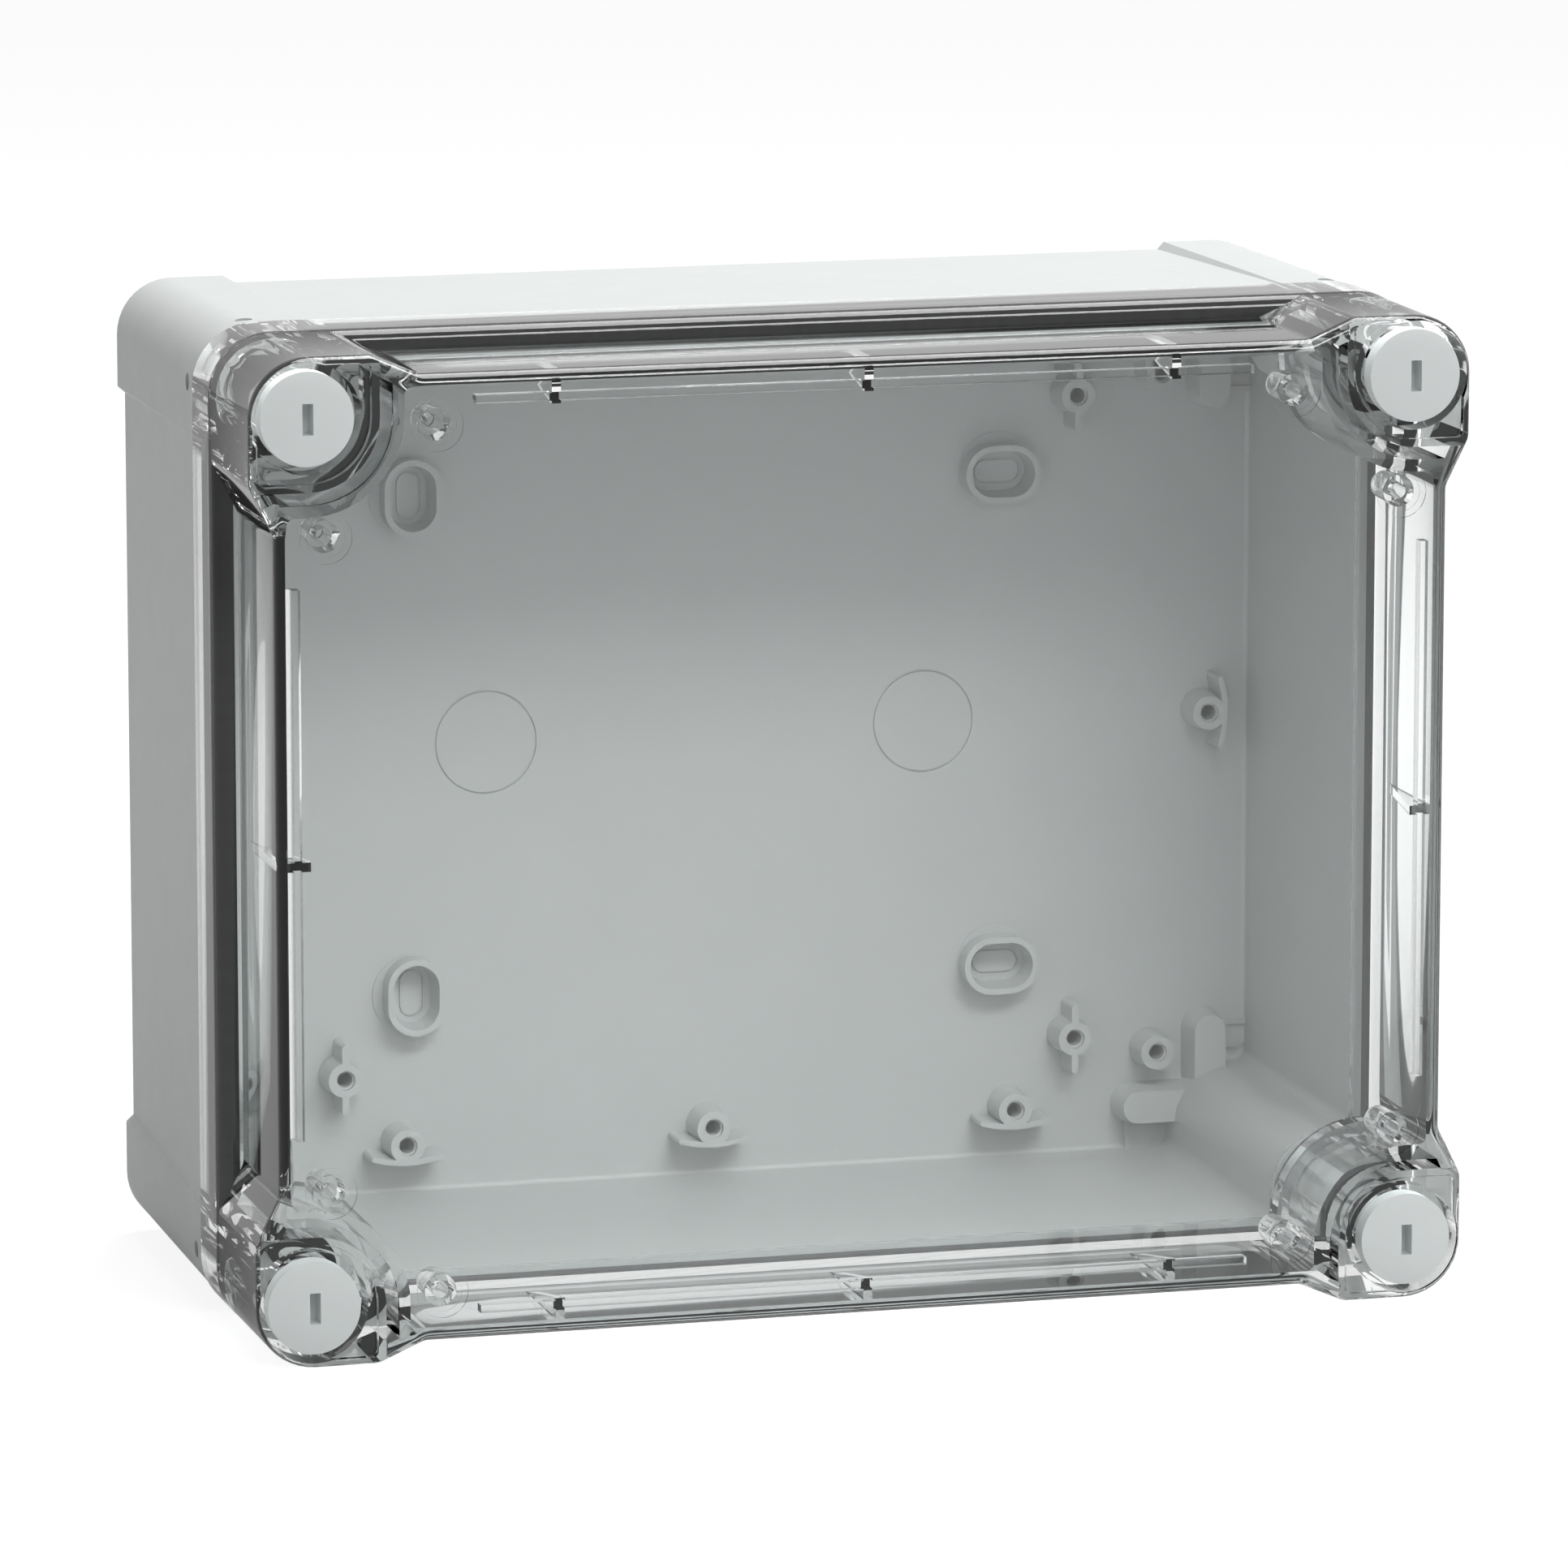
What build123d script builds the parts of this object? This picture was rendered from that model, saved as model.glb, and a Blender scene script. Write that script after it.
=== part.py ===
"""Wall box for electrical equipment: grey tray, clear high cover and four quarter-turn cover screws.

Everything is modelled lying on its back: x to the right, y up the wall, z forward from the wall.
The last step stands the box up, so that its front faces -Y and its top +Z.  Units are millimetres.
"""
from build123d import *
from math import asin, atan, degrees, radians, tan
import os

# Overall sizes
WIDTH = 241.0                   # over the cover flange
HEIGHT = 194.0                  # over the cover flange
DEPTH = 127.0                   # wall to the front of the pane
BASE_DEPTH = 77.0               # wall to the parting line between tray and cover
SCREW_INSET_X = 11.5            # from the end of the flange to a screw axis
SCREW_INSET_Y = 12.0            # from the top of the flange to a screw axis

# Tray
PARTING_SETBACK = 0.3           # tray outside, inside the cover flange at the parting line
TRAY_DRAFT = 1.0                # each side, from the parting line back to the wall
BACK_CORNER_R = 11.0
WALL = 2.9                      # side walls at the back
FLOOR = 4.0
WAIST_INSET = 1.5               # how far the walls between the corner pads stand back at the wall
WAIST_INSET_FRONT = 0.2
PAD_REACH_X = 11.7              # from a screw axis to the end of its corner pad
PAD_REACH_Y = 11.0
PAD_SLOPE = 1.2                 # run of the slanted end of a pad
PILLAR_R = 11.0                 # quarter-round pillar in each corner of the cavity, about the screw
POCKET_R = 2.4                  # radius where a pillar runs into a side wall
FLOOR_FILLET = 1.0
BACK_EDGE_FILLET = 1.0

# Tongue, groove and gasket, which run round inside the screws
TONGUE_OFFSET = 0.6             # from the cavity outline out to the tongue
TONGUE = 2.2
TONGUE_HEIGHT = 6.0
GROOVE_CLEARANCE = 0.25
GASKET_HEIGHT = 3.0
PARTING_GAP = 0.1

# Bosses on the floor of the tray, placed by their distances across and up from a screw axis, inwards
BOSS_R = 3.5
BOSS_TOP = 10.6                 # from the wall
BOSS_BORE_R = 1.55
BOSS_BORE_DEPTH = 7.5
BOSS_MOUTH_R = 2.0
BOSS_MOUTH_DEPTH = 0.8
BOSS_DRAFT = 5.5                # degrees
FIN_DRAFT = 4.0                 # degrees, fins on the bosses
FIN = 1.4                       # thickness of a fin at its top
FIN_REACH = 7.1
FIN_BOSS = (32.5, 18.6)
WING = 1.1
WING_REACH = 7.4
WING_SAG = 1.1
WING_EDGE = 3.9                 # from the boss centre to the far side of its bowed fin
WING_BOSS = (45.2, 4.3)
SIDE_WING_BOSS = 4.2            # across only, as it stands in the middle of the height
PLAIN_BOSS = (14.8, 14.7)
ARCH_R = 3.3
ARCH_DRAFT = 8.0                # degrees
ARCH_SIDE = (3.5, 18.6)         # arched pad above or below a pillar
ARCH_FOOT = (18.7, 3.4)         # arched pad beside a pillar
ARCH_FIN = 1.2
ARCH_FIN_TOP = 5.1              # from the wall
ARCH_FIN_SHIFT = 0.65           # from the centre of the arch, away from the pillar
LEDGE_TOP = 4.6                 # from the wall
LEDGE_LENGTH = 5.6              # from the middle of the fin towards the pillar
LEDGE_R = 3.0
ARCH_BITE = 0.6                 # how far the fin and the ledge run into the side wall

# Fixing points for the wall screws, closed by a thin skin until they are needed
FIXING = (47.7, 34.3)           # from a screw axis
FIXING_RING_LENGTH = 15.7
FIXING_RING_WIDTH = 11.8
FIXING_RING_WALL = 1.2
FIXING_RING_TOP = 8.8           # from the wall
FIXING_RING_DRAFT = 8.0         # degrees, inside of the ring
SLOT_LENGTH = 9.1
SLOT_WIDTH = 4.4
SLOT_SKIN = 0.9
SLOT_LINE = 0.35                # width and depth of the break line round the skin
SLOT_STEP_GROW = 0.65           # shallow step outside the break line
SLOT_STEP = 0.2
SLOT_WELL_DEPTH = 0.6           # inside of the ring, below the floor
SPOT_R = 8.15                   # low disc under each ring
SPOT_RISE = 0.3
MARK_X = 45.7
MARK_R = 10.4                   # faint ring marks either side of the middle
MARK_WIDTH = 0.4
MARK_DEPTH = 0.35

# Screw sockets in the tray and small dimples in its sides
SOCKET_R = 6.2
SOCKET_DEPTH = 19.0
CORE_R = 6.0                    # hole that lightens a pillar from the back
CORE_SKIN = 6.0                 # between that hole and the socket
DIMPLE_R = 1.7
DIMPLE_DEPTH = 1.0
DIMPLE_BEHIND_PARTING = 6.0

# Cover
FLANGE_HEIGHT = 17.0            # from the parting line
FLANGE_ROUND = 3.0
FLANGE_CORNER_R = 12.3
LOBE_SETBACK = 0.3              # turret sides, inside the flange
PANE = 3.0
COVER_WALL = 2.6
COVER_WAIST_X = 4.9             # raised part between the turrets, inside the ends of the flange
COVER_WAIST_Y = 4.2             # the same at top and bottom
FRONT_ROUND = 2.7
NOTCH_R = 16.1                  # edge of the pane round a turret
TURRET_R = 13.8                 # turret wall, on the side towards the pane
TURRET_CORNER_R = 11.5
TURRET_SETBACK = 1.0            # turret top, behind the pane's front
GROOVE_FLOOR_HEIGHT = 22.0      # from the parting line to the floor of the groove between turret and pane
GROOVE_END_WALL = 3.0
LOW_NOTCH_R = 12.4              # inside of the cover round a screw, behind the grooves
FLANK_START = 12.5              # from a screw axis to where a slanted flank leaves its turret
FLANK_END_X, FLANK_END_Y = 21.5, 21.8        # from a screw axis to where it reaches the waist
FLANK_ROUND = 3.5
RIM = 1.5
RIM_RECESS = 1.6                # square recess in the top of a turret
HEAD_WELL_R = 10.7
SHOULDER_SETBACK = 8.4          # step in the well round the head, behind the pane's front
POST_WELL_R = 8.4
POST_R = 6.6
SEAT_SETBACK = 5.6              # seat of the screw head, behind the pane's front
WELL_FLOOR_HEIGHT = 15.0        # from the parting line
SHANK_CLEARANCE = 0.25

GUSSET = 1.8
GUSSET_PANE_LEG = 4.1
GUSSET_WALL_LEG = 24.0
GUSSET_X = 61.0
RIB = 1.5
RIB_HEIGHT = 2.8
RIB_INSET_X, RIB_INSET_Y = 4.3, 5.4          # from the waist
RIB_END_X, RIB_END_Y = 32.5, 32.3            # from a screw axis to the end of a rib
COVER_BOSS_TIP_R = 2.75
COVER_BOSS_ROOT_R = 3.1
COVER_BOSS_LENGTH = 8.5
COVER_BOSS_BORE_R = 1.55
COVER_BOSS_BORE_DEPTH = 8.0
COVER_RING_R = 5.0              # shallow ring on the front of the pane over each boss
COVER_RING_WIDTH = 1.3
COVER_RING_DEPTH = 0.3
COVER_BOSSES = ((24.6, 1.9), (3.1, 22.3))    # from a screw axis

# Cover screw
HEAD_R = 9.0
HEAD_SETBACK = 1.6              # edge of the head, behind the pane's front
HEAD_CROWN = 0.8
SHANK_R = 4.0
SLOT_TOOL_WIDTH = 2.1
SLOT_TOOL_LENGTH = 6.0
SLOT_TOOL_DEPTH = 4.0
SLOT_PIP_R = 0.5                # moulded pip in the upper left corner of the slot
LUG_LENGTH = 10.6
LUG_WIDTH = 3.4
LUG_HEIGHT = 4.0
LUG_CLEARANCE = 0.25            # round the lug, in the slot that lets it through the cover
TIP_GAP = 1.5                   # from the tip of the screw to the end of its socket

CORNERS = {"top_left": (-1, 1), "top_right": (1, 1), "bottom_left": (-1, -1), "bottom_right": (1, -1)}
screw_x = WIDTH / 2 - SCREW_INSET_X
screw_y = HEIGHT / 2 - SCREW_INSET_Y
tray_x = WIDTH / 2 - PARTING_SETBACK - TRAY_DRAFT
tray_y = HEIGHT / 2 - PARTING_SETBACK - TRAY_DRAFT
waist_x = tray_x - WAIST_INSET
waist_y = tray_y - WAIST_INSET
cavity_x = waist_x - WALL
cavity_y = waist_y - WALL
cover_waist_x = WIDTH / 2 - COVER_WAIST_X
cover_waist_y = HEIGHT / 2 - COVER_WAIST_Y
flange_top = BASE_DEPTH + FLANGE_HEIGHT
groove_floor = BASE_DEPTH + GROOVE_FLOOR_HEIGHT
well_floor = BASE_DEPTH + WELL_FLOOR_HEIGHT
turret_top = DEPTH - TURRET_SETBACK
shoulder = DEPTH - SHOULDER_SETBACK
seat = DEPTH - SEAT_SETBACK
head_edge = DEPTH - HEAD_SETBACK
tongue_tip = BASE_DEPTH + TONGUE_HEIGHT
groove_end = tongue_tip + GASKET_HEIGHT
pane_back = DEPTH - PANE
screw_tip = BASE_DEPTH - SOCKET_DEPTH + TIP_GAP
BOTTOM = (Align.CENTER, Align.CENTER, Align.MIN)


def bar(length_x, length_y, z0, z1, x=0.0, y=0.0):
    """Straight block between two depths."""
    return Pos(x, y, z0) * Box(length_x, length_y, z1 - z0, align=BOTTOM)


def rod(radius, z0, z1, x=0.0, y=0.0):
    """Round bar between two depths."""
    return Pos(x, y, z0) * Cylinder(radius, z1 - z0, align=BOTTOM)


def prism(face, z0, z1):
    """Upright solid on a flat outline."""
    return Pos(0, 0, z0) * extrude(face, z1 - z0)


def four_way_outline(quarter):
    """Closed outline from one quarter's corners and radii, mirrored into the other three."""
    points, radii = [], []
    for sign_x, sign_y in ((1, 1), (1, -1), (-1, -1), (-1, 1)):
        run = quarter if sign_x * sign_y > 0 else quarter[::-1]
        points += [(sign_x * x, sign_y * y) for (x, y), _ in run]
        radii += [radius for _, radius in run]
    return make_face(FilletPolyline(*points, radius=radii, close=True))


def notched_outline(half_x, half_y, notch_r, pocket_r):
    """Rectangle whose corners are notched by quarter rounds about the screws."""
    near_x = screw_x - notch_r
    near_y = screw_y - notch_r
    quarter = [((near_x, half_y), pocket_r), ((near_x, near_y), notch_r), ((half_x, near_y), pocket_r)]
    return four_way_outline(quarter)


def cavity_outline(grow):
    """Inside of the tray, grown outwards by a distance."""
    return notched_outline(cavity_x + grow, cavity_y + grow, PILLAR_R - grow, POCKET_R + grow)


def lobed_outline(inset=0.0):
    """Outside of the raised cover: waisted sides that swell out round each turret."""
    lobe_x = WIDTH / 2 - LOBE_SETBACK - inset
    lobe_y = HEIGHT / 2 - LOBE_SETBACK - inset
    shift = inset / 2
    return four_way_outline([
        ((screw_x - FLANK_END_X + shift, cover_waist_y - inset), FLANK_ROUND),
        ((screw_x - FLANK_START + shift, lobe_y), FLANK_ROUND),
        ((lobe_x, lobe_y), TURRET_CORNER_R - inset),
        ((lobe_x, screw_y - FLANK_START + shift), FLANK_ROUND),
        ((cover_waist_x - inset, screw_y - FLANK_END_Y + shift), FLANK_ROUND),
    ])


def turret_outline(shrink=0.0):
    """Top of one turret about its screw; its outer corner points to +x +y."""
    near = -TURRET_R + shrink
    far_x = WIDTH / 2 - LOBE_SETBACK - screw_x - shrink
    far_y = HEIGHT / 2 - LOBE_SETBACK - screw_y - shrink
    points = ((near, near), (far_x, near), (far_x, far_y), (near, far_y))
    radii = [TURRET_R - shrink, 1.2, TURRET_CORNER_R - shrink, 1.2]
    return make_face(FilletPolyline(*points, radius=radii, close=True))


def near_screw(inset, sign_x, sign_y):
    """Place at a distance from a screw axis, inwards."""
    return sign_x * (screw_x - inset[0]), sign_y * (screw_y - inset[1])


def into_corner(solid, sign_x, sign_y):
    """Put a shape made about the origin for the +x +y corner into any corner, mirrored."""
    if sign_x < 0:
        solid = mirror(solid, about=Plane.YZ)
    if sign_y < 0:
        solid = mirror(solid, about=Plane.XZ)
    return Pos(sign_x * screw_x, sign_y * screw_y) * solid


def tray_outside():
    """Drafted tray with four corner pads that stand proud of the waisted walls."""
    pads = extrude(
        RectangleRounded(2 * tray_x, 2 * tray_y, BACK_CORNER_R), BASE_DEPTH,
        taper=-degrees(atan(TRAY_DRAFT / BASE_DEPTH)))
    waist_draft = TRAY_DRAFT + WAIST_INSET - WAIST_INSET_FRONT
    waist = extrude(
        RectangleRounded(2 * waist_x, 2 * waist_y, BACK_CORNER_R - WAIST_INSET), BASE_DEPTH,
        taper=-degrees(atan(waist_draft / BASE_DEPTH)))
    start_x = screw_x - PAD_REACH_X
    start_y = screw_y - PAD_REACH_Y
    deep = 12.0
    corners = []
    for sign_x, sign_y in CORNERS.values():
        points = (
            (start_x - PAD_SLOPE, start_y - PAD_SLOPE), (start_x - PAD_SLOPE, waist_y - 0.3),
            (start_x + PAD_SLOPE, waist_y + 2 * PAD_SLOPE), (start_x + PAD_SLOPE, waist_y + deep),
            (waist_x + deep, waist_y + deep), (waist_x + deep, start_y + PAD_SLOPE),
            (waist_x + 2 * PAD_SLOPE, start_y + PAD_SLOPE), (waist_x - 0.3, start_y - PAD_SLOPE),
        )
        face = make_face(Polyline(*[(sign_x * x, sign_y * y) for x, y in points], close=True))
        corners.append(prism(face, 0, BASE_DEPTH))
    return waist + [pads & corner for corner in corners]


def boss_cone(x, y):
    """Drafted round boss on the floor."""
    rise = BOSS_TOP - FLOOR / 2
    return Pos(x, y, FLOOR / 2) * Cone(BOSS_R + rise * tan(radians(BOSS_DRAFT)), BOSS_R, rise, align=BOTTOM)


def drafted(face, draft):
    """Solid under a flat outline, which is its top, spreading towards the floor; it stands up."""
    return Pos(0, 0, BOSS_TOP) * Rot(X=180) * extrude(face, BOSS_TOP - FLOOR / 2, taper=-draft)


def straight_fin(x, y):
    """Upright fin with rounded ends, through the middle of a boss."""
    return Pos(x, y) * drafted(Rot(Z=90) * SlotOverall(2 * FIN_REACH, FIN), FIN_DRAFT)


def wing(x, y, turn):
    """Bowed fin with rounded ends on the far side of a boss; turn 0 puts it below."""
    radius = (WING_REACH ** 2 + WING_SAG ** 2) / (2 * WING_SAG)
    middle = radius - WING / 2
    half_angle = degrees(asin((WING_REACH - WING / 2) / middle))
    face = Pos(0, -radius) * SlotArc(CenterArc((0, 0), middle, 90 - half_angle, 2 * half_angle), WING)
    return Pos(x, y) * Rot(Z=turn) * Pos(0, -WING_EDGE) * drafted(face, FIN_DRAFT)


def arch_pad(x, y, turn, side, to_wall):
    """Arched pad that runs into a pillar, with a low fin and ledge across to the side wall."""
    into_pillar = 16.0
    length = into_pillar + ARCH_R
    arch = Rot(Z=90) * Pos(into_pillar / 2 - ARCH_R / 2, 0) * SlotOverall(length, 2 * ARCH_R)
    far = to_wall + ARCH_BITE
    fin = bar(far, ARCH_FIN, FLOOR / 2, ARCH_FIN_TOP, side * far / 2, ARCH_FIN_SHIFT)
    ledge = bar(far, LEDGE_LENGTH, FLOOR / 2, LEDGE_TOP, side * far / 2, ARCH_FIN_SHIFT - LEDGE_LENGTH / 2)
    ledge_end = ARCH_FIN_SHIFT - LEDGE_LENGTH
    corner = ledge.edges().filter_by(Axis.Z).sort_by_distance((side * far, ledge_end, FLOOR))[0]
    return Pos(x, y) * Rot(Z=turn) * (drafted(arch, ARCH_DRAFT) + fin + fillet(corner, LEDGE_R))


def fixing_slot(length, width, z0, z1):
    return prism(SlotOverall(length, width), z0, z1)


def ring_mark(x, y):
    """Faint witness groove on the floor of the tray."""
    outer = rod(MARK_R + MARK_WIDTH / 2, FLOOR - MARK_DEPTH, FLOOR + 1, x, y)
    return outer - rod(MARK_R - MARK_WIDTH / 2, FLOOR - MARK_DEPTH - 1, FLOOR + 2, x, y)


def fixing_cuts():
    """Drafted inside of a fixing ring, step and break line round its thin skin, slot behind the skin."""
    skin_top = FLOOR - SLOT_WELL_DEPTH
    step = skin_top - SLOT_STEP
    mouth = SlotOverall(FIXING_RING_LENGTH - 2 * FIXING_RING_WALL, FIXING_RING_WIDTH - 2 * FIXING_RING_WALL)
    well = extrude(mouth, FIXING_RING_TOP - skin_top, taper=FIXING_RING_DRAFT)
    grow = 2 * SLOT_STEP_GROW
    line = fixing_slot(SLOT_LENGTH + 2 * SLOT_LINE, SLOT_WIDTH + 2 * SLOT_LINE, step - SLOT_LINE, skin_top)
    return [
        Pos(0, 0, FIXING_RING_TOP) * Rot(X=180) * well,
        fixing_slot(SLOT_LENGTH + grow, SLOT_WIDTH + grow, step, skin_top + SLOT_STEP),
        line - fixing_slot(SLOT_LENGTH, SLOT_WIDTH, 0, FLOOR),
        fixing_slot(SLOT_LENGTH, SLOT_WIDTH, -1, step - SLOT_SKIN),
    ]


def make_base():
    """The grey tray: one moulding with pillars, tongue, bosses and closed fixing points."""
    body = tray_outside()
    body = fillet(body.faces().sort_by(Axis.Z)[0].edges(), BACK_EDGE_FILLET)
    tongue = cavity_outline(TONGUE_OFFSET + TONGUE) - cavity_outline(TONGUE_OFFSET)
    cavity = prism(cavity_outline(0), FLOOR, BASE_DEPTH + 1)
    cavity = fillet(cavity.faces().sort_by(Axis.Z)[0].edges(), FLOOR_FILLET)
    body = body + prism(tongue, BASE_DEPTH - 1, tongue_tip) - cavity

    # Bosses, arched pads and fixing rings, the same pattern in all four quarters
    raised = []
    cuts = []
    bored = []
    middle_x = screw_x - SIDE_WING_BOSS
    middle_y = screw_y - WING_BOSS[1]
    for sign in (1, -1):
        bored += [(0.0, sign * middle_y), (sign * middle_x, 0.0)]
        raised.append(wing(0.0, sign * middle_y, 90 + 90 * sign))
        raised.append(wing(sign * middle_x, 0.0, 90 * sign))
    for sign_x, sign_y in CORNERS.values():
        x, y = near_screw(FIN_BOSS, sign_x, sign_y)
        raised.append(straight_fin(x, y))
        bored += [(x, y), near_screw(PLAIN_BOSS, sign_x, sign_y)]
        x, y = near_screw(WING_BOSS, sign_x, sign_y)
        raised.append(wing(x, y, 90 + 90 * sign_y))
        bored.append((x, y))
        side = sign_x * sign_y
        x, y = near_screw(ARCH_SIDE, sign_x, sign_y)
        raised.append(arch_pad(x, y, 90 + 90 * sign_y, -side, cavity_x - abs(x)))
        x, y = near_screw(ARCH_FOOT, sign_x, sign_y)
        raised.append(arch_pad(x, y, 90 * sign_x, side, cavity_y - abs(y)))
        x, y = near_screw(FIXING, sign_x, sign_y)
        place = Pos(x, y) * Rot(Z=90 if sign_x < 0 else 0)
        raised.append(rod(SPOT_R, FLOOR / 2, FLOOR + SPOT_RISE, x, y))
        raised.append(place * fixing_slot(FIXING_RING_LENGTH, FIXING_RING_WIDTH, FLOOR / 2, FIXING_RING_TOP))
        cuts += [place * cut for cut in fixing_cuts()]
    raised += [boss_cone(x, y) for x, y in bored]
    inside = prism(cavity_outline(1), 0.5, BASE_DEPTH)
    body = body + [piece & inside for piece in raised]
    cuts += [rod(BOSS_BORE_R, BOSS_TOP - BOSS_BORE_DEPTH, BOSS_TOP + 1, x, y) for x, y in bored]
    cuts += [rod(BOSS_MOUTH_R, BOSS_TOP - BOSS_MOUTH_DEPTH, BOSS_TOP + 1, x, y) for x, y in bored]
    cuts += [ring_mark(sign * MARK_X, 0.0) for sign in (1, -1)]

    # Screw sockets from the front, lightening holes from the back, dimples in the sides
    dimple_z = BASE_DEPTH - DIMPLE_BEHIND_PARTING
    for sign_x, sign_y in CORNERS.values():
        x, y = sign_x * screw_x, sign_y * screw_y
        cuts.append(rod(SOCKET_R, BASE_DEPTH - SOCKET_DEPTH, BASE_DEPTH + 1, x, y))
        cuts.append(rod(CORE_R, -1, BASE_DEPTH - SOCKET_DEPTH - CORE_SKIN, x, y))
        dimple = Cylinder(DIMPLE_R, 2 * DIMPLE_DEPTH)
        cuts.append(Pos(sign_x * (WIDTH / 2 - PARTING_SETBACK), y, dimple_z) * Rot(Y=90) * dimple)
        cuts.append(Pos(x, sign_y * (HEIGHT / 2 - PARTING_SETBACK), dimple_z) * Rot(X=90) * dimple)
    return body - cuts


def groove_outline():
    outer = TONGUE_OFFSET + TONGUE + GROOVE_CLEARANCE
    return cavity_outline(outer) - cavity_outline(TONGUE_OFFSET - GROOVE_CLEARANCE)


def make_gasket():
    """Foam cord in the groove of the cover, pressed by the tip of the tongue."""
    return prism(groove_outline(), tongue_tip, groove_end)


def gusset(wall_at):
    """Triangular web between the side wall and the pane; the wall stands at +x."""
    tip = wall_at - GUSSET_PANE_LEG
    face = make_face(Polyline(
        (wall_at + 0.5, pane_back + 0.5), (tip, pane_back + 0.5), (tip, pane_back - 1.2),
        (wall_at, pane_back - GUSSET_WALL_LEG), (wall_at + 0.5, pane_back - GUSSET_WALL_LEG), close=True))
    return Rot(X=90) * extrude(face, GUSSET / 2, both=True)


def make_cover():
    """The clear cover: flange with groove, waisted box, pane and four screw turrets."""
    flange = prism(RectangleRounded(WIDTH, HEIGHT, FLANGE_CORNER_R), BASE_DEPTH + PARTING_GAP, flange_top)
    flange = fillet(flange.faces().sort_by(Axis.Z)[-1].edges(), FLANGE_ROUND)
    raised = prism(lobed_outline(), flange_top - 8, DEPTH)
    raised = fillet(raised.faces().sort_by(Axis.Z)[-1].edges(), FRONT_ROUND)
    body = flange + raised

    # Inside, wide behind the grooves, then up to the pane; the groove for the tongue and the gasket
    inner_x = cover_waist_x - COVER_WALL
    inner_y = cover_waist_y - COVER_WALL
    step = groove_floor - COVER_WALL
    cuts = [
        prism(notched_outline(inner_x, inner_y, LOW_NOTCH_R, 1.5), BASE_DEPTH - 1, step),
        prism(notched_outline(inner_x, inner_y, NOTCH_R + COVER_WALL, 1.5), step - 1, pane_back),
        prism(groove_outline(), BASE_DEPTH - 1, groove_end),
    ]

    # Grooves round the turrets, their tops, wells, posts and bores
    ditch = lobed_outline(GROOVE_END_WALL) - notched_outline(WIDTH, HEIGHT, NOTCH_R, 0.1)
    turret = prism(turret_outline(), groove_floor - 5, DEPTH + 2)
    turrets = [into_corner(turret, sign_x, sign_y) for sign_x, sign_y in CORNERS.values()]
    cuts.append(prism(ditch, groove_floor, DEPTH + 1) - turrets)
    top = prism(turret_outline(), turret_top, DEPTH + 1)
    recess = prism(turret_outline(RIM), turret_top - RIM_RECESS, DEPTH + 1)
    post = rod(POST_R, well_floor - 1, seat)
    well = rod(HEAD_WELL_R, shoulder, DEPTH + 1) + rod(POST_WELL_R, well_floor, shoulder + 1) - post
    bore = rod(SHANK_R + SHANK_CLEARANCE, BASE_DEPTH - 1, seat + 1)
    lug_way = bar(LUG_WIDTH + 2 * LUG_CLEARANCE, LUG_LENGTH + 2 * LUG_CLEARANCE, BASE_DEPTH - 1, seat + 1)
    corner_cut = top + recess + well + bore + Rot(Z=45) * lug_way
    cuts += [into_corner(corner_cut, sign_x, sign_y) for sign_x, sign_y in CORNERS.values()]
    body = body - cuts

    # Inside of the pane: ribs, gussets and eight hollow bosses
    added = []
    cuts = []
    for sign in (1, -1):
        rib_x = sign * (cover_waist_x - RIB_INSET_X)
        rib_y = sign * (cover_waist_y - RIB_INSET_Y)
        added.append(bar(2 * (screw_x - RIB_END_X), RIB, pane_back - RIB_HEIGHT, pane_back + 0.5, 0, rib_y))
        added.append(bar(RIB, 2 * (screw_y - RIB_END_Y), pane_back - RIB_HEIGHT, pane_back + 0.5, rib_x, 0))
        added.append(Rot(Z=90 - 90 * sign) * gusset(inner_x))
        added += [Pos(x, 0) * Rot(Z=90 * sign) * gusset(inner_y) for x in (-GUSSET_X, 0.0, GUSSET_X)]
    end = pane_back - COVER_BOSS_LENGTH
    for sign_x, sign_y in CORNERS.values():
        for inset in COVER_BOSSES:
            x, y = near_screw(inset, sign_x, sign_y)
            place = Pos(x, y, end)
            boss = Cone(COVER_BOSS_TIP_R, COVER_BOSS_ROOT_R, COVER_BOSS_LENGTH + 0.5, align=BOTTOM)
            added.append(place * boss)
            cuts.append(place * rod(COVER_BOSS_BORE_R, -1, COVER_BOSS_BORE_DEPTH))
            ring = rod(COVER_RING_R, DEPTH - COVER_RING_DEPTH, DEPTH + 1, x, y)
            cuts.append(ring - rod(COVER_RING_R - COVER_RING_WIDTH, 0, DEPTH + 2, x, y))
    return body + added - cuts


def make_screw():
    """Quarter-turn screw: crowned slotted head, shank and cross lug."""
    crown_top = head_edge + HEAD_CROWN
    crown_r = (HEAD_R ** 2 + HEAD_CROWN ** 2) / (2 * HEAD_CROWN)
    head = rod(HEAD_R, seat, crown_top) & Pos(0, 0, crown_top - crown_r) * Sphere(crown_r)
    lug = bar(LUG_WIDTH, LUG_LENGTH, screw_tip, screw_tip + LUG_HEIGHT)
    lug &= rod(LUG_LENGTH / 2, screw_tip, screw_tip + LUG_HEIGHT)
    slot_floor = crown_top - SLOT_TOOL_DEPTH
    slot = bar(SLOT_TOOL_WIDTH, SLOT_TOOL_LENGTH, slot_floor, DEPTH + 1)
    pip = rod(SLOT_PIP_R, slot_floor - 1, head_edge - SLOT_PIP_R, -SLOT_TOOL_WIDTH / 2, SLOT_TOOL_LENGTH / 2)
    return head + rod(SHANK_R, screw_tip, seat + 1) + lug - slot + pip


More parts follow.
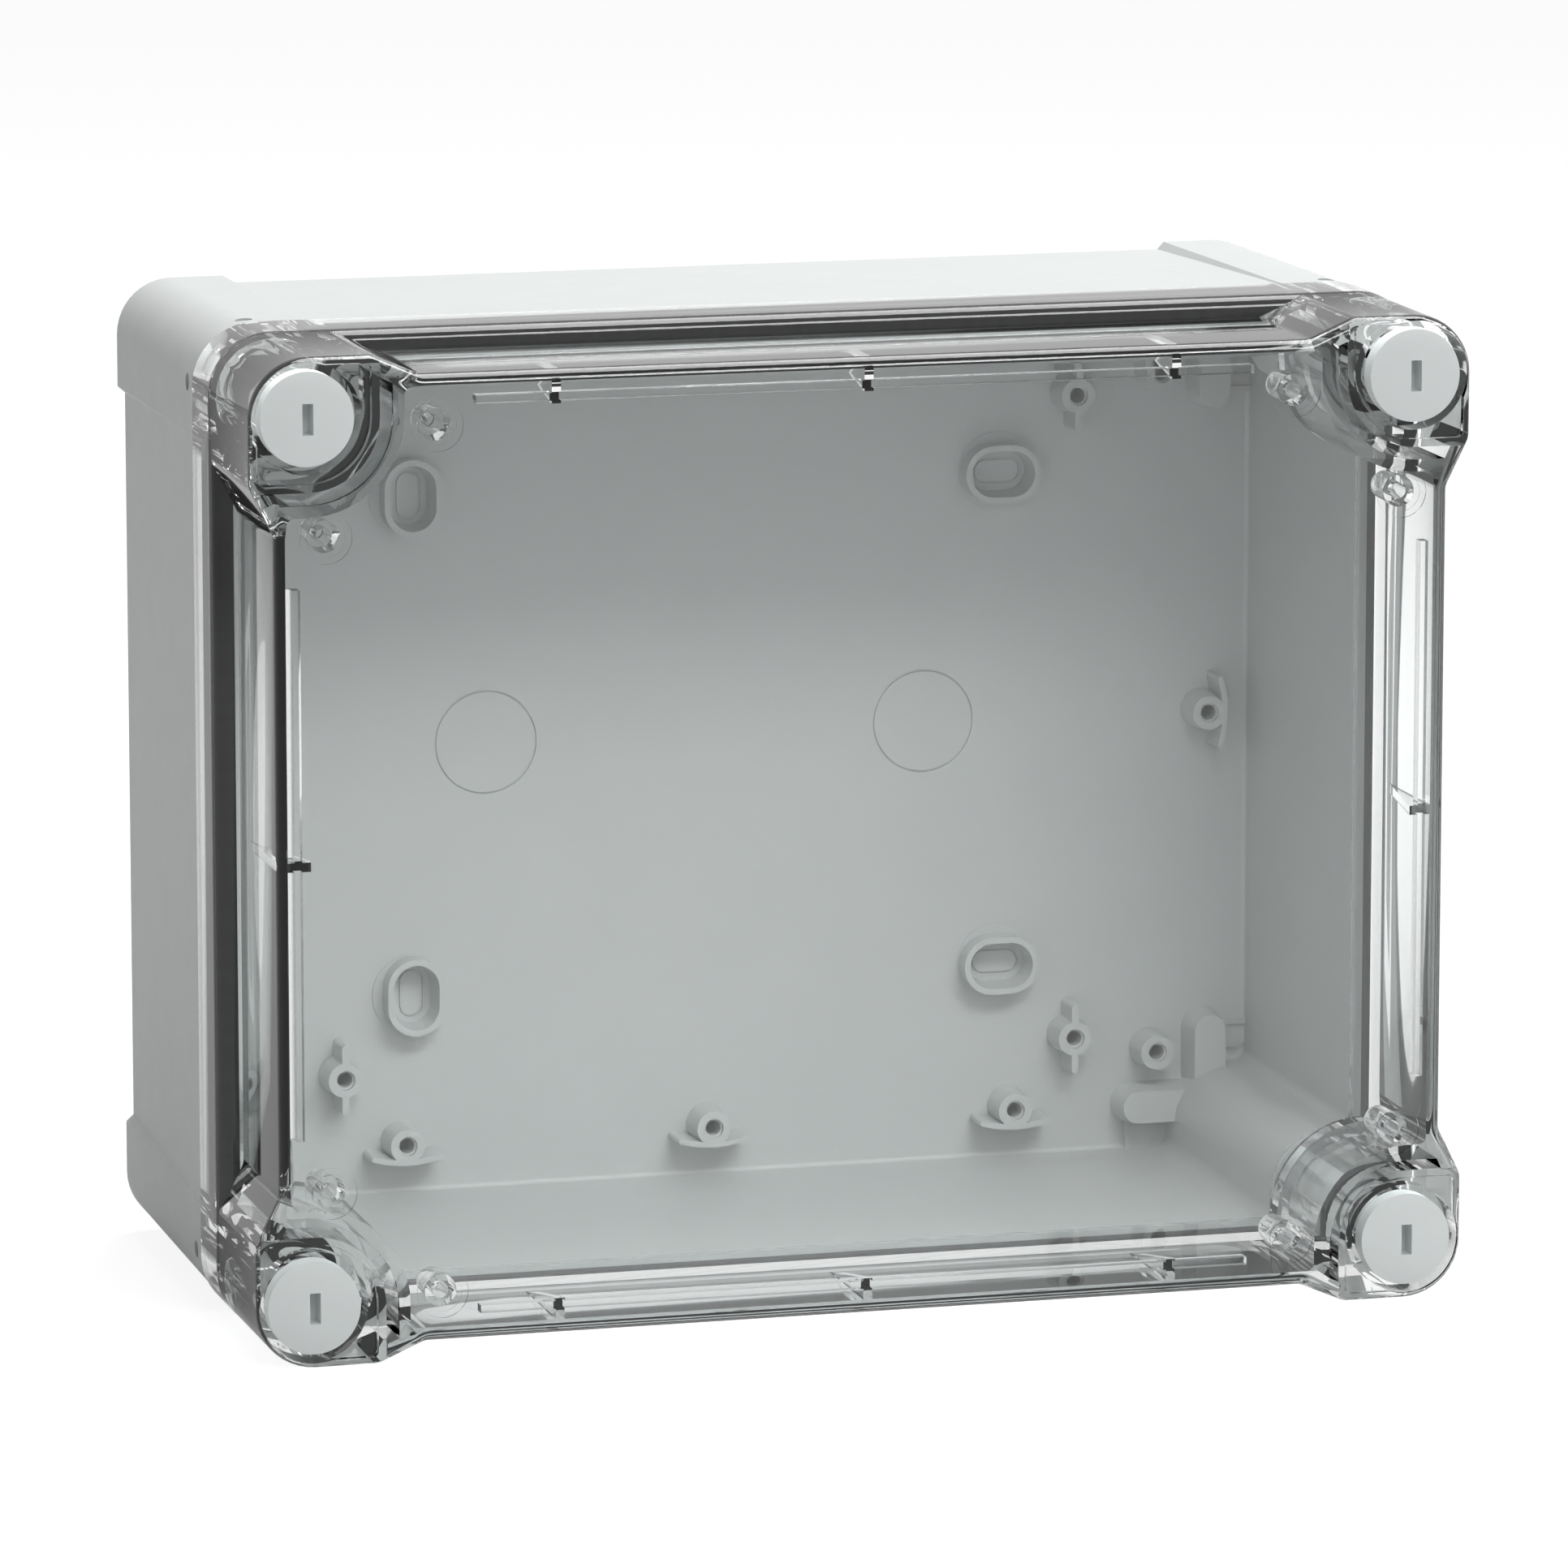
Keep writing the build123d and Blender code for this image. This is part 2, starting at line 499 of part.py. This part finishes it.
def export(solid, name, x=0.0, y=0.0):
    """Stand the piece up and write its file."""
    piece = Rot(X=90) * Pos(x, y) * solid
    piece.label = name
    export_step(piece, f"parts/{name}.step")
    print(f"{name}: valid {piece.is_valid}, volume {piece.volume:.1f} mm3")


os.makedirs("parts", exist_ok=True)
export(make_base(), "base_tray")
export(make_gasket(), "cover_gasket")
export(make_cover(), "clear_cover")
screw = make_screw()
for corner, (sign_x, sign_y) in CORNERS.items():
    export(screw, f"cover_screw_{corner}", sign_x * screw_x, sign_y * screw_y)
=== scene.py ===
import bmesh
import bpy
import numpy as np
from mathutils import Matrix, Vector


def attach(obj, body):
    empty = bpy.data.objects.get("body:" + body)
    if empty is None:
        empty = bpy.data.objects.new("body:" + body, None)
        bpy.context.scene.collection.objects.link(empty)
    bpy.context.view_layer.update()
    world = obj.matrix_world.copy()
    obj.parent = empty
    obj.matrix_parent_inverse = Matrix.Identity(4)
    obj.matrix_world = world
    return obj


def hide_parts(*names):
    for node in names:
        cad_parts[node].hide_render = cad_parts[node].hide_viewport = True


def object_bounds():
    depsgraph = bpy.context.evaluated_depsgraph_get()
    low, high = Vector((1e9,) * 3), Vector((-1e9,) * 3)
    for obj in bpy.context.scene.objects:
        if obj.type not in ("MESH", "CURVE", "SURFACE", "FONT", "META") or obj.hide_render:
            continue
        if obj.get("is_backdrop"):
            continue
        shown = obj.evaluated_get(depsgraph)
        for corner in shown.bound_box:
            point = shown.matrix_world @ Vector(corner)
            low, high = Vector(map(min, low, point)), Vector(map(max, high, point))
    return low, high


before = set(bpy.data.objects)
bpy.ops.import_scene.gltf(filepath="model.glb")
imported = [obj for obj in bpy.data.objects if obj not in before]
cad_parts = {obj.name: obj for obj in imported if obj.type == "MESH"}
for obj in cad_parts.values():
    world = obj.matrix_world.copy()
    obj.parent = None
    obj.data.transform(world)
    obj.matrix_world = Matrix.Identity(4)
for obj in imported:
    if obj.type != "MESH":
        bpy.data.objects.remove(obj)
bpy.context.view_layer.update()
print("frame loaded")

scene = bpy.context.scene


# Shader maths

class Socket:
    # wraps one output socket, so that an expression on it adds its Math nodes

    def __init__(self, tree, socket):
        self.tree = tree
        self.socket = socket

    def math(self, operation, *values):
        return self.tree.node("ShaderNodeMath", {"operation": operation}, dict(enumerate((self, *values))))

    def __add__(self, other):
        return self.math("ADD", other)

    def __radd__(self, other):
        return self.math("ADD", other)

    def __sub__(self, other):
        return self.math("SUBTRACT", other)

    def __rsub__(self, other):
        return (self * -1) + other

    def __mul__(self, other):
        return self.math("MULTIPLY", other)

    def __rmul__(self, other):
        return self.math("MULTIPLY", other)

    def clamped(self, low=0.0, high=1.0):
        return self.math("MAXIMUM", low).math("MINIMUM", high)


class ShaderTree:
    # the nodes of a material or of the world, started empty

    def __init__(self, owner):
        owner.use_nodes = True
        self.tree = owner.node_tree
        self.tree.nodes.clear()

    def node(self, kind, settings=None, values=None, output=0):
        # settings come first, then each input gets its value or its link; gives back one output
        made = self.tree.nodes.new(kind)
        for name, value in (settings or {}).items():
            setattr(made, name, value)
        for name, value in (values or {}).items():
            if isinstance(value, Socket):
                self.tree.links.new(value.socket, made.inputs[name])
            else:
                made.inputs[name].default_value = value
        if not made.outputs:
            return None
        return Socket(self, made.outputs[output])


def grey(value):
    return (value, value, value, 1.0)


def newMaterial(name):
    material = bpy.data.materials.new(name)
    return material, ShaderTree(material)


def mixColors(tree, factor, first, second):
    # a Mix node's colour sockets go by number, because its sockets for numbers have the same names
    return tree.node("ShaderNodeMix", {"data_type": "RGBA"}, {0: factor, 6: first, 7: second}, output=2)


def mixShaders(tree, factor, first, second):
    return tree.node("ShaderNodeMixShader", None, {0: factor, 1: first, 2: second})


def objectPoint(tree):
    return tree.node("ShaderNodeTexCoord", output="Object")


def noise(tree, point, scale, detail=2.0, roughness=0.5):
    values = {"Vector": point, "Scale": scale, "Detail": detail, "Roughness": roughness}
    return tree.node("ShaderNodeTexNoise", None, values)


# Opaque pieces: a little cloudiness in the colour, and a fine grain from the mould, or of the foam

trayPlastic = {
    "color": (0.560, 0.585, 0.578),
    "cloud": 0.006,             # how far the colour goes lighter and darker, as a share
    "cloudScale": 55.0,
    "roughness": 0.42,
    "roughnessSpread": 0.07,
    "grainScale": 2600.0,
    "grainHeight": 0.000005,    # metres
}
screwPlastic = {
    "color": (0.785, 0.825, 0.820),
    "cloud": 0.005,
    "cloudScale": 160.0,
    "roughness": 0.36,
    "roughnessSpread": 0.06,
    "grainScale": 3200.0,
    "grainHeight": 0.000003,
}
gasketFoam = {
    "color": (0.090, 0.090, 0.093),
    "cloud": 0.05,
    "cloudScale": 420.0,
    "roughness": 0.85,
    "roughnessSpread": 0.08,
    "grainScale": 1500.0,
    "grainHeight": 0.00002,
}
noiseMiddle = 0.5
noiseStretch = 4.0              # noise stays near its middle, so the end colours lie this much further out
patchRatio = 2.3                # patches of gloss are this much finer than the clouds
plasticIor = 1.5


def opaqueMaterial(name, look):
    # colour = noise between two end colours, roughness = mean + spread x finer noise, height = fine grain
    material, tree = newMaterial(name)
    point = objectPoint(tree)
    cloud = noise(tree, point, look["cloudScale"], detail=3.0)
    reach = noiseStretch * look["cloud"]
    dark = tuple(channel * (1.0 - reach) for channel in look["color"]) + (1.0,)
    light = tuple(min(channel * (1.0 + reach), 1.0) for channel in look["color"]) + (1.0,)
    color = mixColors(tree, cloud.clamped(), dark, light)
    patch = noise(tree, point, look["cloudScale"] * patchRatio)
    roughness = (patch - noiseMiddle) * (2 * look["roughnessSpread"]) + look["roughness"]
    grain = noise(tree, point, look["grainScale"], roughness=0.6)
    normal = tree.node("ShaderNodeBump", None, {
        "Strength": 1.0, "Distance": look["grainHeight"], "Height": grain})
    surface = tree.node("ShaderNodeBsdfPrincipled", None, {
        "Base Color": color, "Roughness": roughness, "Normal": normal, "IOR": plasticIor})
    tree.node("ShaderNodeOutputMaterial", None, {"Surface": surface})
    return material


# Clear cover: polycarbonate, which lets the lamps through so that the inside is lit

clearPlastic = {
    "color": (0.985, 0.992, 0.992, 1.0),
    "roughness": 0.0,
    "ior": 1.585,
    "shadowTint": (0.960, 0.968, 0.968, 1.0),
    "bounces": 32,              # light runs a long way inside the clear edges, which turn black with fewer
}


def clearMaterial(name, look):
    material, tree = newMaterial(name)
    solid = tree.node("ShaderNodeBsdfPrincipled", None, {
        "Base Color": look["color"], "Roughness": look["roughness"],
        "IOR": look["ior"], "Transmission Weight": 1.0})
    through = tree.node("ShaderNodeBsdfTransparent", None, {"Color": look["shadowTint"]})
    lampRay = tree.node("ShaderNodeLightPath", output="Is Shadow Ray")
    tree.node("ShaderNodeOutputMaterial", None, {"Surface": mixShaders(tree, lampRay, solid, through)})
    return material


# A CAD node's mesh is loose triangles; a merged copy can be shaded smooth, which clear plastic needs

smoothing = {
    "mergeDistance": 0.000002,  # metres
    "sharpAngle": 24.0,         # degrees; edges that turn more than this stay sharp
}


def smoothCopy(node, name, material, body):
    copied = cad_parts[node].data.copy()
    copied.name = name
    shape = bmesh.new()
    shape.from_mesh(copied)
    bmesh.ops.remove_doubles(shape, verts=shape.verts, dist=smoothing["mergeDistance"])
    shape.to_mesh(copied)
    shape.free()
    copied.materials.clear()
    copied.materials.append(material)
    if "custom_normal" in copied.attributes:
        copied.attributes.remove(copied.attributes["custom_normal"])
    copied.shade_smooth()
    copied.set_sharp_from_angle(angle=np.radians(smoothing["sharpAngle"]))
    piece = bpy.data.objects.new(name, copied)
    scene.collection.objects.link(piece)
    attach(piece, body)
    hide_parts(node)


def dress(node, material):
    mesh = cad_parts[node].data
    mesh.materials.clear()
    mesh.materials.append(material)


smoothCopy("clear_cover", "clearCover", clearMaterial("clearPlastic", clearPlastic), "cover")
smoothCopy("base_tray", "baseTray", opaqueMaterial("trayPlastic", trayPlastic), "base")
screwMaterial = opaqueMaterial("screwPlastic", screwPlastic)
for corner in ("top_left", "top_right", "bottom_left", "bottom_right"):
    smoothCopy(
        f"cover_screw_{corner}", f"coverScrew.{corner}", screwMaterial, f"screw_{corner}")
dress("cover_gasket", opaqueMaterial("gasketFoam", gasketFoam))
print("pieces dressed")


# Stage: pale floor, white background, one soft box high up over the back and one high up in front

stage = {
    "floorSize": 6.0,           # metres
    "floorColor": 0.72,         # as it lights the object
    "floorShade": 0.26,         # as it is seen, under its own glow
    "glowCamera": 0.88,         # floor's own glow as the camera sees it
    "glowFront": 0.29,          # as gloss and clear plastic show it, in front and behind
    "glowBehind": 0.58,
    "glowSlope": 1.5,           # how fast it goes over from front to behind, per metre of depth
    "glowAtWall": 0.3,          # how far over it is at the object's back
    "ambient": 0.20,            # room's light on the object
    "roomFront": 0.50,          # room as gloss and clear plastic show it, in front and behind
    "roomBehind": 1.0,
    "roomSlope": 0.6,           # how fast it goes over with the direction
    "roomSideways": 0.85,
}
lampAim = (0.0, -0.05, 0.0)
lamps = {
    "topBox": {"place": (0.35, 0.25, 1.4), "size": (1.0, 1.0), "watts": 20.8},
    "keyBox": {"place": (0.40, -1.70, 1.65), "size": (1.5, 0.5), "watts": 20.5},
}


def rayKinds(tree):
    # each is 1 for rays that come from the camera, a gloss or clear plastic, else 0
    kinds = ("Camera", "Glossy", "Transmission")
    return [tree.node("ShaderNodeLightPath", output=f"Is {kind} Ray") for kind in kinds]


def depthOf(tree, vector):
    # the part of a point or direction that goes from the front to the back
    return tree.node("ShaderNodeSeparateXYZ", None, {"Vector": vector}, output="Y")


def floorMaterial():
    # pale where it lights the object; darker, plus a glow, where camera, gloss or clear plastic show it
    material, tree = newMaterial("floorPale")
    camera, glossy, clear = rayKinds(tree)
    seen = (camera + glossy + clear).clamped()
    plain = tree.node("ShaderNodeBsdfDiffuse", None, {"Color": grey(stage["floorColor"])})
    shade = tree.node("ShaderNodeBsdfDiffuse", None, {"Color": grey(stage["floorShade"])})
    behind = (depthOf(tree, objectPoint(tree)) * stage["glowSlope"] + stage["glowAtWall"]).clamped()
    shown = behind * (stage["glowBehind"] - stage["glowFront"]) + stage["glowFront"]
    level = camera * stage["glowCamera"] + (glossy + clear) * shown
    glow = tree.node("ShaderNodeEmission", None, {"Color": level, "Strength": 1.0})
    bright = tree.node("ShaderNodeAddShader", None, {0: shade, 1: glow})
    tree.node("ShaderNodeOutputMaterial", None, {"Surface": mixShaders(tree, seen, plain, bright)})
    return material


def makeFloor(low):
    # one square at the height low, its corners half its size from the middle
    corners = np.array([[-1, -1], [1, -1], [1, 1], [-1, 1]]) * stage["floorSize"] / 2
    points = np.column_stack([corners, np.full(len(corners), low)])
    mesh = bpy.data.meshes.new("floor")
    mesh.from_pydata(points.tolist(), [], [range(len(corners))])
    mesh.materials.append(floorMaterial())
    floor = bpy.data.objects.new("floor", mesh)
    scene.collection.objects.link(floor)
    floor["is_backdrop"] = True


def makeWorld():
    # light on the object = ambient; the camera sees white, gloss and clear plastic a room darker in front
    world = bpy.data.worlds.new("studio")
    scene.world = world
    tree = ShaderTree(world)
    camera, glossy, clear = rayKinds(tree)
    seen = (camera + glossy + clear).clamped()
    towardsBack = depthOf(tree, tree.node("ShaderNodeTexCoord", output="Generated"))
    room = towardsBack * stage["roomSlope"] + stage["roomSideways"]
    shown = (camera + room.clamped(stage["roomFront"], stage["roomBehind"])).clamped()
    strength = seen * shown + (1 - seen) * stage["ambient"]
    background = tree.node("ShaderNodeBackground", None, {"Color": grey(1.0), "Strength": strength})
    tree.node("ShaderNodeOutputWorld", None, {"Surface": background})


def softBox(name, lamp):
    light = bpy.data.lights.new(name, "AREA")
    light.shape = "RECTANGLE"
    light.size, light.size_y = lamp["size"]
    light.energy = lamp["watts"]
    box = bpy.data.objects.new(name, light)
    towards = Vector(lampAim) - Vector(lamp["place"])
    turn = towards.to_track_quat("-Z", "Y").to_matrix().to_4x4()
    box.matrix_world = Matrix.Translation(lamp["place"]) @ turn
    scene.collection.objects.link(box)


makeFloor(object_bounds()[0][2])
makeWorld()
for name, lamp in lamps.items():
    softBox(name, lamp)
print("stage set")


# Camera at the photograph's view, from lines fitted to the box's own edges

cameraSettings = {
    "place": (-0.51983, -1.94179, 0.35879),
    "right": (0.963726, -0.266892, 0.000065),
    "down": (-0.048315, -0.174701, -0.983435),
    "forward": (0.262482, 0.947760, -0.181259),
    "lens": 231.53,             # millimetres, as is the sensor
    "sensor": 36.0,
    "nearest": 0.05,            # metres
}


def makeCamera():
    # the camera's own axes are right, up and backward
    data = bpy.data.cameras.new("camera")
    data.sensor_width = cameraSettings["sensor"]
    data.lens = cameraSettings["lens"]
    data.clip_start = cameraSettings["nearest"]
    camera = bpy.data.objects.new("camera", data)
    right, down, forward = (np.array(cameraSettings[name]) for name in ("right", "down", "forward"))
    matrix = Matrix(np.array([right, -down, -forward]).T.tolist()).to_4x4()
    matrix.translation = cameraSettings["place"]
    camera.matrix_world = matrix
    scene.collection.objects.link(camera)
    scene.camera = camera


makeCamera()
scene.view_settings.view_transform = "Standard"
scene.cycles.max_bounces = clearPlastic["bounces"]
scene.cycles.transmission_bounces = clearPlastic["bounces"]
print("camera placed")
